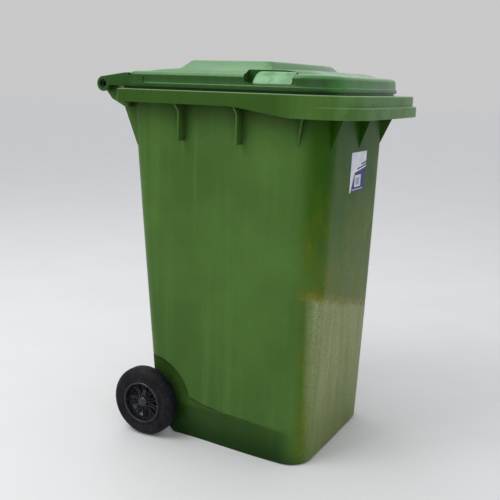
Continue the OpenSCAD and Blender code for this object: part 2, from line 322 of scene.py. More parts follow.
RECESS_X = 208.0
RECESS_R = 134.0
TUCK_Z = 97.0


def wheel_recess(grow):
    """Cutter for the round wheel recess on the right, rounded where it meets the wall."""
    inner = RECESS_X - grow
    r = RECESS_R + grow
    profile = [(r - 11, inner), (r - 8, inner + 1), (r - 6, inner + 4), (r - 4, inner + 10),
               (r - 2.5, inner + 17), (r + 0.5, inner + 23), (r + 8, inner + 30), (r + 8, CUT_HALF)]
    rings = [[(x, AXLE_Y + q * math.cos(t), AXLE_Z + q * math.sin(t))
              for t in np.linspace(0, FULL_TURN, 144, endpoint=False)] for q, x in profile]
    return stack("recess", rings)


def tuck(grow):
    """Cutter for the shallow tuck that runs forward from the right recess along the bottom."""
    mid, front = AXLE_Y - RECESS_R, -196.0
    shallow = 227.0
    line = ((330, 114), (100, 114), (96, 114), (82, 110), (68, 106.4), (56, 104), (45, 102.1),
            (34, 100.6), (23, 99.4), (6, 98), (-10, TUCK_Z), (front, TUCK_Z))
    rings = []
    for y, top in line:
        x = mix(RECESS_X, shallow, max(0.0, (mid - y) / (mid - front))) - grow
        z = top + grow
        rings.append([(x, y, -5), (x, y, z - 6), (x + 1.2, y, z), (x + 13, y, z + 12),
                      (x + 30, y, z + 22), (CUT_HALF, y, z + 22), (CUT_HALF, y, -5)])
    return stack("tuck", rings)


def axle_channel(grow):
    """Cutter for the channel across the rear of the bottom."""
    g = grow
    floor, rear = -6, 330
    outer = rounded_profile([(156 - 1.4 * g, floor), (192 - 0.7 * g, 29 + 0.8 * g), (201 - g, 60),
                             (201 - g, 128 + 0.4 * g), (214 - 0.4 * g, 141 + g), (rear, 141 + g),
                             (rear, floor)], 7, 4)
    return prism("channel", outer, -CUT_HALF, CUT_HALF)


def tub_form(name, grow, bottom, top, edge):
    """The tub's form with its wheel recesses, tucks and axle channel."""
    body = tub_solid(name, grow, bottom, top, edge)
    cutters = pair(lambda: wheel_recess(-grow)) + pair(lambda: tuck(-grow)) + [axle_channel(-grow)]
    return carve(body, cutters)


# ---- rim band and lifting lip


def rim_ring(inset, step):
    """Outline of the band; step is 1 on the lower front band and 0 on the upper one."""
    return outline(RIM_HALF - inset, LIP_FRONT + LIP_STEP * step - inset, RIM_REAR - inset,
                   mix(94, 104, step) - inset, 16 - inset, BOW)


def rim_solid(name, inset, drop, bottom):
    """The band's form, solid, with a rounded top edge and a soft ledge between its two steps."""
    top = RIM_Z - drop
    ledge = STEP_Z - drop
    plan = [(0, 1, bottom), (0, 1, ledge - 3), (0, 0.96, ledge - 1.2), (0, 0.85, ledge - 0.3),
            (0, 0.15, ledge + 0.5), (0, 0.04, ledge + 1.2), (0, 0, ledge + 3), (0, 0, top - 4)]
    edge = 3.5
    for a in (22, 45, 67, 90):
        t = math.radians(a)
        plan.append((edge * (1 - math.cos(t)), 0, top - edge + edge * math.sin(t)))
    return stack(name, [at(rim_ring(inset + extra, step), z) for extra, step, z in plan])


def band_cutter():
    """Cuts the band's lower edge: deep round the front, shallow along the sides and rear."""
    low = RIM_Z - FRONT_DEPTH
    high = RIM_Z - BAND_DEPTH
    profile = [(-209, low - 6), (-209, low), (-200, low + 0.6), (-60, high - 1.4), (-44, high),
               (330, high), (330, low - 6)]
    return prism("band_cutter", profile, -CUT_HALF, CUT_HALF)


def rim_band():
    """The hollow band round the rim, open below."""
    band = rim_solid("band", 0, 0, RIM_Z - FRONT_DEPTH)
    inside = rim_solid("band_in", WALL, WALL, RIM_Z - FRONT_DEPTH - PAST)
    return carve(band, [inside, band_cutter()])


# ---- fins under the rim

FIN_Z = 850.0
FIN_TOP = RIM_Z - 2
FIN_EDGE = 0.9


def side_fin(y):
    """A fin square to the right wall, centred on y."""
    root, foot, head = 220, 269, 287
    profile = [(root, FIN_Z), (foot, FIN_Z), (foot, 925), (head, 944), (head, FIN_TOP),
               (root, FIN_TOP)]
    return rounded(prism("fin", profile, y - 2.5, y + 2.5, "Y"), FIN_EDGE)


def slant_fin(x, y, angle, top):
    """A fin with a slanted edge; its foot is 84 from the point it turns about."""
    root, foot, head = 60, 84, 165
    profile = [(root, FIN_Z - 8), (foot, FIN_Z - 8), (top, 917), (head, 950), (head, FIN_TOP),
               (root, FIN_TOP)]
    fin = rounded(prism("fin", profile, -2.0, 2.0, "Y"), FIN_EDGE)
    turn = Matrix.Rotation(math.radians(angle), 4, "Z")
    fin.data.transform(Matrix.Translation((x * MM, y * MM, 0)) @ turn)
    return fin


def fins():
    """All the fins, kept inside the band."""
    limit = stack("fin_limit", [at(rim_ring(1, 0), FIN_Z - 10), at(rim_ring(1, 0), RIM_Z - 1)])
    made = [slant_fin(0, -198, -90, 111)]
    for y in (118, -54):
        made += pair(lambda: side_fin(y))
    made += pair(lambda: slant_fin(171, -154, -40, 117))
    made += pair(lambda: slant_fin(155, -195, -72, 117))
    for fin in made:
        boolean(fin, "INTERSECT", limit)
    bpy.data.objects.remove(limit)
    return made


# ---- handle, lugs and axle mounts

LUG_IN, LUG_OUT = 226.0, 249.0
KNUCKLE_R = 20.0
GRIP_R = 16.0
PIN_R = 10.0
PIN_HEAD_BORE_R = 11.5
RUN_GAP = 0.05


def hinge_rod(name, low, high, r, sides=64, edge=0.0):
    """A round bar on the hinge's line."""
    return rod(name, low, high, r, HINGE_Y, HINGE_Z, sides, edge)


def lug(low, high, r, knee):
    """A hinge lug: a ring on a bracket whose underside passes through knee."""
    profile = [(290, RIM_Z), (320, RIM_Z), (HINGE_Y - 14, HINGE_Z + 13), (HINGE_Y, HINGE_Z),
               (HINGE_Y + 9, HINGE_Z - 17), knee, (303, 930), (290, 930)]
    plate = rounded(prism("lug", profile, low, high), 1.2)
    return join(plate, [hinge_rod("ring", low, high, r, edge=1.0)])


def handle():
    """The hollow handle bar with its lugs, its centre plates and the hinge bores."""
    bar = hinge_rod("handle", -LUG_IN - 1, LUG_IN + 1, GRIP_R, 72)
    join(bar, pair(lambda: lug(LUG_IN, LUG_OUT, KNUCKLE_R - 0.5, (346, 950))))
    join(bar, pair(lambda: lug(14, 20, GRIP_R + 2, (334, 952))))
    bores = pair(lambda: hinge_rod("bore", 180, LUG_OUT + 2, PIN_R + RUN_GAP))
    hollows = pair(lambda: hinge_rod("hollow", 30, 222, GRIP_R - WALL))
    return carve(bar, bores + hollows)


def lug_webs():
    """The plates under the two outer lugs, down to the rear wall."""
    profile = [(262, 828), (277, 828), (320, 930), (335, 945), (335, 952), (262, 952)]
    return pair(lambda: rounded(prism("web", profile, LUG_IN - 3.5, LUG_IN + 1.5), 0.9))


BOSS_OUT = 222.0
AXLE_R = 10.0


def axle_mounts():
    """Ribs with eyes across the axle channel, and the two end bosses."""
    parts = []
    profile = [(190, 50), (212, 72), (AXLE_Y + 14, AXLE_Z - 14), (AXLE_Y + 20, AXLE_Z),
               (AXLE_Y + 16, 146), (190, 146)]
    for x in (40, 120, RECESS_X - 6):
        parts += pair(lambda: join(rounded(prism("rib", profile, x, x + 6), 0.9),
                                   [rod("eye", x, x + 6, 20, AXLE_Y, AXLE_Z, edge=0.8)]))
    parts += pair(lambda: rod("boss", RECESS_X - 8, BOSS_OUT, 17, AXLE_Y, AXLE_Z, edge=1.0))
    return parts


def floor_relief(x):
    """Cutter for one of the three shallow panels under the floor; x is its left side."""
    wide, front, rear = 88, -205, 120
    corners = [(x, front), (x + wide, front), (x + wide, rear), (x, rear)]
    return prism("relief", rounded_profile(corners, 14, 5), -5, 5, "Z")


def bin_body():
    body = tub_form("bin_shell", 0, 0, RIM_Z, 8)
    join(body, [rim_band()] + fins() + lug_webs())
    carve(body, [tub_form("tub_inside", -WALL, FLOOR, RIM_Z + PAST, 6)])
    carve(body, [floor_relief(x) for x in (-141, -44, 53)])
    join(body, [handle()] + axle_mounts())
    carve(body, [rod("axle_bore", -260, 260, AXLE_R + RUN_GAP, AXLE_Y, AXLE_Z)])
    return smooth(body)


# ---- the lid


LID_HALF = 275.0
DOME_TOP = 1057.0
SKIRT_EDGE_Z = 990


def lid_ring(half, front, rear, r_front, r_rear, shell):
    """One outline of the lid, moved inwards by shell."""
    least = 8
    return outline(half - shell, front - shell, rear - shell, max(r_front - shell, least),
                   max(r_rear - shell, least), BOW)


# Half width, front, rear, the two corner radii and height of each ring, outside
SKIRT = ((273.8, 303.8, 282.8, 87, 23, 985.0), (274.7, 304.7, 283.7, 88, 24, 985.5),
         (275, 305, 284, 88, 24, 986.4), (275, 305, 284, 88, 24, 993.8),
         (274.4, 304.4, 283.4, 88, 24, 995.2), (272.9, 302.9, 282.2, 87, 24, 996.0),
         (272.3, 302.2, 282, 86, 24, 997.2), (271.9, 301.4, 281.6, 86, 24, 1013.0),
         (271.2, 300.4, 280.9, 85, 24, 1016.4), (269.7, 298.4, 279.4, 84, 24, 1019.8),
         (267.0, 295.2, 276.8, 82, 24, 1022.7), (263.4, 291.0, 273.5, 79, 24, 1024.4),
         (258, 285, 268, 74, 24, 1025.3))
PLATEAU = ((261, 264, 264, 74, 24, 1022.0), (250.6, 240.6, 208, 66, 24, 1029.3),
           (249.0, 238.6, 199, 65, 24, 1030.3), (239.5, 223.4, 139, 60, 24, 1034.7),
           (237.5, 221.6, 128, 60, 24, 1035.4), (233, 218, 118, 58, 22, 1035.7))
DOME = ((259, 138, 154, 34, 30, 1024.0), (209.6, 115.4, 131.4, 24, 22, 1051.7),
        (207.2, 113.4, 129.6, 22, 20, 1053.6), (203.6, 110.6, 126.6, 20, 18, 1055.3),
        (199.5, 107, 123, 18, 16, 1056.3), (193, 101, 117, 16, 14, 1056.9),
        (150, 70, 86, 12, 12, DOME_TOP))


def ring_stack(name, table, shell):
    """A part of the lid's form from its table; the inside form also reaches out at the bottom."""
    rings = []
    for *sizes, z in table:
        drop = shell if z > SKIRT_EDGE_Z else 6 * (shell > 0)
        rings.append(at(lid_ring(*sizes, shell), z - drop))
    return stack(name, rings)


def lid_solid(name, shell):
    """The lid's form moved inwards by shell: skirt, plateau, dome and the strip behind them."""
    form = ring_stack(name, SKIRT, shell)
    return join(form, [ring_stack("plateau", PLATEAU, shell), ring_stack("dome", DOME, shell),
                       rear_strip(shell)])


def rear_strip(shell):
    """The lower strip behind the lid's top, up to the handle."""
    low = LID_Z - (5 if shell else 0)
    profile = rounded_profile([(225, low), (316 - shell, low), (316 - shell, 1014 - shell),
                               (225, 1014 - shell)], 0.01 if shell else 3, 3)
    return prism("strip", profile, shell + 0.6 - LID_HALF, LID_HALF - 0.6 - shell)


def lug_notch(grow):
    """Cutter for the notch beside the right arm, which clears the body's lug."""
    profile = [(285 - grow, LID_Z - 6), (330, LID_Z - 6), (330, 1030), (285 - grow, 1030)]
    return prism("notch", profile, 218 - grow, ARM_IN + grow)


SCOOP_Y = (-203.0, -75.0)
SCOOP_Z = 1001.0
SCOOP_X = 240.0


def scoop(grow):
    """Cutter for the right hand scoop."""
    profile = rounded_profile([(SCOOP_Y[0] - grow, SCOOP_Z - grow),
                               (SCOOP_Y[1] + grow, SCOOP_Z - grow), (SCOOP_Y[1] + grow + 8, 1062),
                               (SCOOP_Y[0] - grow - 3, 1062)], 6, 4)
    return prism("scoop", profile, SCOOP_X - grow, CUT_HALF)


def grip_bar():
    """The sloping bar that closes the right scoop from outside, with a soft rear end."""
    profile = rounded_profile([(246, 1031), (251, 1030), (258, 1022), (265, 1011), (273.2, 998),
                               (269.5, 996), (261.5, 1009), (254.5, 1019.5), (249, 1026.5),
                               (246, 1027)], 1.6, 3)
    rings = []
    for y in np.linspace(-206, -96, 34):
        ease = math.sqrt(max(0.0, 1 - max(0.0, (y + 112) / 16) ** 2))
        shrink = mix(0.45, 1.0, ease)
        rings.append([(271 + (x - 271) * shrink, y, 996 + (z - 996) * shrink) for x, z in profile])
    return stack("grip_bar", rings)


def drip_lip():
    """The thin lip under the lid, inside its skirt."""
    def ring(name, inset, low, high):
        outer = lid_ring(LID_HALF, 305, 284, 88, 24, inset)
        return stack(name, [at(outer, low), at(outer, high)])
    lip = join(ring("lip_flange", 2.5, LID_Z + 2, LID_Z + 5),
               [ring("lip", 6.5, RIM_Z + 0.6, LID_Z + 5)])
    return carve(lip, [ring("lip_inside", 9.0, RIM_Z, RIM_Z + 20)])


ARM_IN, ARM_OUT = 250.0, LID_HALF


def lid_arm():
    """The right arm, from the lid's rear corner to its hinge knuckle."""
    profile = rounded_profile([(272, LID_Z + 1), (HINGE_Y, LID_Z + 1),
                               (HINGE_Y, HINGE_Z + KNUCKLE_R - 0.2), (284, 1020), (272, 1020.5)],
                              2.0, 3)
    arm = rounded(prism("arm", profile, ARM_IN, ARM_OUT), 1.6, 3)
    return join(arm, [hinge_rod("knuckle", ARM_IN, ARM_OUT, KNUCKLE_R, 72, 1.4)])


BUFFER_PLACES = ((255.0, -228.0), (256.0, 205.0))
BUFFER_BOSS_R = 9
BUFFER_BORE_R = 4


def post(name, x, y, low, high, r):
    """A round post along Z."""
    turns = np.linspace(0, FULL_TURN, 32, endpoint=False)
    ring = [(x + r * math.cos(t), y + r * math.sin(t)) for t in turns]
    return stack(name, [at(ring, low), at(ring, high)])


def lid_shell():
    """The hollow lid with its scoops, bars, arms, lip and the bosses that hold the buffers."""
    lid = carve(lid_solid("lid_shell", 0), pair(lambda: scoop(0)) + pair(lambda: lug_notch(0)))
    inside = lid_solid("lid_inside", LID_WALL)
    carve(inside, pair(lambda: scoop(LID_WALL)) + pair(lambda: lug_notch(LID_WALL)))
    carve(lid, [inside])
    join(lid, pair(grip_bar) + pair(lid_arm) + [drip_lip()])
    for x, y in BUFFER_PLACES:
        join(lid, pair(lambda: post("boss", x, y, 988, 1019, BUFFER_BOSS_R)))
        carve(lid, pair(lambda: post("boss_bore", x, y, 985, 1002, BUFFER_BORE_R)))
    carve(lid, pair(lambda: hinge_rod("bore", ARM_IN - 2, ARM_OUT + 2, PIN_R + RUN_GAP)))
    carve(lid, pair(lambda: hinge_rod("head_bore", ARM_OUT - 12, ARM_OUT + 2, PIN_HEAD_BORE_R)))
    return smooth(lid)


# ---- wheels, built on the right

WHEEL_MID = (WHEEL_IN + WHEEL_OUT) / 2
SEAT_R = 60.0
KEY_R = 56.0
KEY_HALF = 6
SEAT = [(SEAT_R, WHEEL_IN + 3), (SEAT_R, WHEEL_MID - KEY_HALF), (KEY_R, WHEEL_MID - KEY_HALF),
        (KEY_R, WHEEL_MID + KEY_HALF), (SEAT_R, WHEEL_MID + KEY_HALF)]


def tyre():
    """Solid rubber tyre: round shoulders, a fine mould line and a raised bead at the hub."""
    shoulder = 20.0
    flat = 0.6  # the side walls stay this far inside the wheel's width
    outer = [(TYRE_R - shoulder * (1 - math.cos(t)),
              WHEEL_OUT - flat - (shoulder - flat) * (1 - math.sin(t)))
             for t in np.radians(np.linspace(90, 0, 15))]
    inner = [(TYRE_R - shoulder * (1 - math.cos(t)),
              WHEEL_IN + flat + (shoulder - flat) * (1 - math.sin(t)))
             for t in np.radians(np.linspace(0, 90, 15))]
    line = [(TYRE_R - 0.25, WHEEL_IN + 13.5), (TYRE_R - 1.2, WHEEL_IN + 12.8),
            (TYRE_R - 0.9, WHEEL_IN + 11.8)]
    side = [(SEAT_R, WHEEL_OUT - 3.2), (SEAT_R + 0.6, WHEEL_OUT - 2.2),
            (SEAT_R + 2.4, WHEEL_OUT - 1.9), (SEAT_R + 4.2, WHEEL_OUT - 2.6),
            (SEAT_R + 5.4, WHEEL_OUT - 4.0), (SEAT_R + 7.5, WHEEL_OUT - 4.0),
            (SEAT_R + 11, WHEEL_OUT - 2.2), (SEAT_R + 15, WHEEL_OUT - 1.0)]
    crown = [p for p in inner if p[1] > WHEEL_IN + 15]
    rest = [p for p in inner if p[1] < WHEEL_IN + 10.5]
    return smooth(lathe("tyre", SEAT + side + outer + crown + line + rest, AXLE_Y, AXLE_Z, 160), 28)


WEB_X = 248.0
SPOKE_PAIRS = 10
LATCH_X = 256.0


def spoke(angle, side):
    """One thin rib of a pair, curved, from the hub's centre to its rim."""
    rings = []
    for t in np.linspace(0, 1, 9):
        r = mix(14, 51, t)
        bend = math.radians(angle) + 0.16 * (t - 0.5) ** 2 * side + side * mix(3.4, 3.8, t) / r
        top = mix(266.5, 262.5, t ** 0.8)
        half = 1.2
        c, s = math.cos(bend), math.sin(bend)
        section = ((WEB_X + 1, half + 0.3), (top - 1.0, half), (top, half - 0.7), (top, 0.7 - half),
                   (top - 1.0, -half), (WEB_X + 1, -half - 0.3))
        rings.append([(x, AXLE_Y + r * c - w * s, AXLE_Z + r * s + w * c) for x, w in section])
    return stack("spoke", rings)


BOSS_R = 15.5
BUSH_R = 12.0
LATCH_R = 3.5
LATCH_HEAD_R = 5.5
TOWER_R = 8


def wheel_hub():
    """Bowl-shaped hub: rim with a bead, web, centre boss, paired ribs and the latch tower."""
    x0, x1 = WHEEL_IN, WHEEL_OUT
    bowl = [(38 + 16.6 * math.cos(t), 275.5 - 23.5 * math.sin(t))
            for t in np.radians(np.linspace(0, 90, 14))]
    bead = [(SEAT_R, x1 - 3.2), (59.7, x1 - 1.4), (58.8, x1 - 0.5), (57.4, x1 - 0.2),
            (56.0, x1 - 0.6), (55.1, x1 - 1.8)]
    profile = SEAT + bead + bowl + [(AXLE_R, WEB_X + 4), (AXLE_R, WEB_X), (50, WEB_X), (54, x0 + 3)]
    hub = lathe("hub", profile, AXLE_Y, AXLE_Z, 160)
    boss = lathe("hub_boss", [(AXLE_R, x0 + 0.5), (BOSS_R, x0 + 0.5), (BOSS_R, 263.4),
                              (BOSS_R - 0.6, 264), (BOSS_R - 2.5, 264), (BOSS_R - 2.5, 268),
                              (AXLE_R, 268)], AXLE_Y, AXLE_Z, 96)
    spokes = [spoke(360 * (i + 0.5) / SPOKE_PAIRS, side)
              for i in range(SPOKE_PAIRS) for side in (-1, 1)]
    tower = post("tower", LATCH_X, AXLE_Y, AXLE_Z + 13, AXLE_Z + 34, TOWER_R)
    join(hub, [boss, tower] + spokes)
    carve(hub, [rod("bore", x0 - 1, 271, AXLE_R + RUN_GAP, AXLE_Y, AXLE_Z),
                rod("bush_bore", x0 - 1, WEB_X + 1, BUSH_R + RUN_GAP, AXLE_Y, AXLE_Z),
                post("latch_low", LATCH_X, AXLE_Y, AXLE_Z + 5, AXLE_Z + 20, LATCH_R + RUN_GAP),
                post("latch_high", LATCH_X, AXLE_Y, AXLE_Z + 16, AXLE_Z + 36,
                     LATCH_HEAD_R + RUN_GAP)])
    return smooth(hub)


CAP_R = 15.3
CAP_IN = 264.3


def hub_cap():
    """Small domed cap with a rounded shoulder and a shallow ring groove."""
    ball = 22.5
    dome = [(r, 277.4 - ball + math.sqrt(ball * ball - r * r)) for r in np.linspace(0.01, 10.6, 7)]
    edge = dome[-1][1]
    rim = [(11.1, edge - 0.6), (11.8, edge - 0.6), (12.2, edge - 0.7), (13.8, 272.4), (14.9, 271.0),
           (CAP_R, 269.3), (CAP_R, 265.0), (CAP_R - 0.4, CAP_IN)]
    inside = [(BOSS_R - 2.45, CAP_IN), (BOSS_R - 2.45, 268.1), (0.01, 268.1)]
    return smooth(lathe("cap", dome + rim + inside, AXLE_Y, AXLE_Z, 96))


# ---- label


def front_label():
    """A thin plain film on the front wall that follows the wall."""
    low, high = mm_box("front_label")
    columns, rows = 12, 12
    lift, gap = 0.35, 0.02

    def wall_y(x, z):
        t = z / RIM_Z
        front = mix(*TUB_FRONT, t) + FRONT_BELLY * t * (1 - t)
        return -front * (1 + TUB_BOW / front * (1 - (x / mix(*TUB_HALF, t)) ** 2))

    verts, faces = [], []
    for back in (0, 1):
        for j in range(rows + 1):
            for i in range(columns + 1):
                x, z = mix(low[0], high[0], i / columns), mix(low[2], high[2], j / rows)
                verts.append((x, wall_y(x, z) - (gap if back else lift), z))
    wide = columns + 1
    layer = wide * (rows + 1)
    for j in range(rows):
        for i in range(columns):
            a = j * wide + i
            faces.append((a, a + 1, a + wide + 1, a + wide))
            faces.append((layer + a, layer + a + wide, layer + a + wide + 1, layer + a + 1))
    border = list(range(wide)) + [j * wide + columns for j in range(1, rows + 1)]
    border += [rows * wide + i for i in range(columns - 1, -1, -1)]
    border += [j * wide for j in range(rows - 1, 0, -1)]
    for k, a in enumerate(border):
        b = border[(k + 1) % len(border)]
        faces.append((a, layer + a, layer + b, b))
    return smooth(make("label_film", verts, faces), 60)


# ---- materials

# Linear colours of the two green mouldings, of the wear and dirt on them, and of the painted light
# and shade on them
TUB_GREEN = (0.057, 0.126, 0.024)
LID_GREEN = (0.017, 0.062, 0.009)
SCUFFED = (0.24, 0.34, 0.16)
BAND_SHADE = (0.014, 0.048, 0.003)
BAND_LIGHT_AND_DUST = (0.105, 0.225, 0.075)
BAND_TOP_HIGHLIGHT = (0.165, 0.320, 0.125)
HOLLOW_SHADE = (0.010, 0.026, 0.004)
FOOT_SHADE = (0.006, 0.026, 0.003)
FRONT_TOP_SHADE = (0.014, 0.072, 0.001)
OLIVE_FILM = (0.062, 0.112, 0.002)
LICHEN = (0.150, 0.155, 0.012)
EDGE_YELLOW = (0.200, 0.170, 0.030)
PALE_LOW_FRONT = (0.360, 0.385, 0.205)
LID_TOP_LIGHT = (0.070, 0.235, 0.066)
LID_FRONT_LIGHT = (0.057, 0.208, 0.048)
LID_BAR_HIGHLIGHT = (0.150, 0.335, 0.155)
LID_HOLLOW_SHADE = (0.012, 0.028, 0.008)


class Shader:
    """A node material being written. Every value may be a number, a colour or a socket."""

    def __init__(self, name):
        self.material = bpy.data.materials.new(name)
        self.material.use_nodes = True
        self.tree = self.material.node_tree
        self.surface = self.tree.nodes["Principled BSDF"]

    def add(self, kind, inputs=None, **settings):
        node = self.tree.nodes.new(kind)
        for key, value in settings.items():
            setattr(node, key, value)
        for key, value in (inputs or {}).items():
            self.put(node.inputs[key], value)
        return node

    def put(self, socket, value):
        """Links a socket, or sets a plain value."""
        if isinstance(value, bpy.types.NodeSocket):
            self.tree.links.new(value, socket)
        else:
            socket.default_value = value

    def finish(self, **inputs):
        for key, value in inputs.items():
            self.put(self.surface.inputs[key.replace("_", " ")], value)
        return self.material

    def place(self, scale=(1, 1, 1), turn=(0, 0, 0)):
        """Object coordinates, stretched and turned."""
        coords = self.add("ShaderNodeTexCoord").outputs["Object"]
        inputs = {"Vector": coords, "Scale": scale, "Rotation": turn}
        return self.add("ShaderNodeMapping", inputs).outputs[0]

    def noise(self, scale, detail=3.0, rough=0.55, stretch=(1, 1, 1), turn=(0, 0, 0)):
        inputs = {"Vector": self.place(stretch, turn), "Scale": scale, "Detail": detail,
                  "Roughness": rough}
        return self.add("ShaderNodeTexNoise", inputs).outputs["Fac"]

    def span(self, value, low, high, to_low=0.0, to_high=1.0):
        """Maps low..high to to_low..to_high, smoothly, clamped."""
        inputs = {"Value": value, "From Min": low, "From Max": high, "To Min": to_low,
                  "To Max": to_high}
        return self.add("ShaderNodeMapRange", inputs, interpolation_type="SMOOTHSTEP").outputs[0]

    def span_linear(self, value, low, high):
        """Maps low..high to 0..1, clamped."""
        inputs = {"Value": value, "From Min": low, "From Max": high}
        return self.add("ShaderNodeMapRange", inputs).outputs[0]

    def math(self, how, a, b=0.0):
        node = self.add("ShaderNodeMath", operation=how)
        self.put(node.inputs[0], a)
        self.put(node.inputs[1], b)
        return node.outputs[0]

    def times(self, *values):
        """The product of two or more values."""
        product = values[0]
        for value in values[1:]:
            product = self.math("MULTIPLY", product, value)
        return product

    def step(self, value, edge, below=False):
        """1 above the edge and 0 below it, or the other way round."""
        return self.math("LESS_THAN" if below else "GREATER_THAN", value, edge)

    def blend(self, factor, a, b):
        node = self.add("ShaderNodeMix", data_type="RGBA")
        self.put(node.inputs["Factor"], factor)
        for socket, value in ((node.inputs[6], a), (node.inputs[7], b)):
            self.put(socket, value if isinstance(value, bpy.types.NodeSocket) else (*value, 1.0))
        return node.outputs[2]

    def axis(self, name):
        """One of X, Y, Z of the object coordinates, in metres."""
        coords = self.add("ShaderNodeTexCoord").outputs["Object"]
        return self.add("ShaderNodeSeparateXYZ", {"Vector": coords}).outputs[name]

    def upward(self, low, high):
        """How far the surface faces up, in the object's own directions."""
        facing = self.add("ShaderNodeTexCoord").outputs["Normal"]
        parts = self.add("ShaderNodeSeparateXYZ", {"Vector": facing})
        return self.span(parts.outputs["Z"], low, high)

    def bump(self, height, strength, distance, under=None):
        inputs = {"Height": height, "Strength": strength, "Distance": distance}
        if under is not None:
            inputs["Normal"] = under
        return self.add("ShaderNodeBump", inputs).outputs[0]


def scratches(s, scale, thin, turn):
    """Thin straight scratches: the narrow valleys of a stretched noise."""
    lines = s.noise(scale, 2.0, 0.5, (1, 22, 1), turn)
    ridge = s.math("ABSOLUTE", s.math("SUBTRACT", lines, 0.5))
    here = s.span(s.noise(5.0, 2.0), 0.5, 0.68)
    return s.times(s.span(ridge, thin, 0.0), here)


def shade_of(colour, factor, lift=0.0):
    """A colour made lighter or darker."""
    return tuple(c * factor + lift for c in colour)


def moulded_green(name, base, gloss):
    """Start of both green mouldings: clouded, streaked and speckled polyethylene with scuffs."""
    s = Shader(name)
    clouds = s.noise(3.4, 4.0, 0.6)
    colour = s.blend(s.span(clouds, 0.32, 0.70), shade_of(base, 0.86), shade_of(base, 1.13))
    streaks = s.noise(30.0, 4.0, 0.62, (1, 1, 0.035))
    colour = s.blend(s.span(streaks, 0.46, 0.70, 0.0, 0.40), colour, shade_of(base, 1.32, 0.006))
    speck = s.noise(430.0, 2.0, 0.7)
    colour = s.blend(s.span(speck, 0.58, 0.74, 0.0, 0.35), colour, shade_of(base, 0.5))
    scuff = s.math("MAXIMUM", scratches(s, 34.0, 0.010, (0.3, 0.2, 0.5)),
                   scratches(s, 46.0, 0.008, (1.2, 0.4, -0.7)))
    colour = s.blend(s.times(scuff, 0.30), colour, SCUFFED)
    rough = s.span(s.noise(11.0, 4.0, 0.6), 0.3, 0.7, gloss, gloss + 0.10)
    rough = s.math("ADD", rough, s.times(scuff, 0.12))
    waves = s.bump(s.noise(9.0, 2.0, 0.5), 0.30, 0.0020)
    grain = s.bump(s.noise(850.0, 2.0, 0.6), 0.10, 0.0004, waves)
    return s, colour, rough, s.bump(scuff, 0.18, 0.0004, grain)


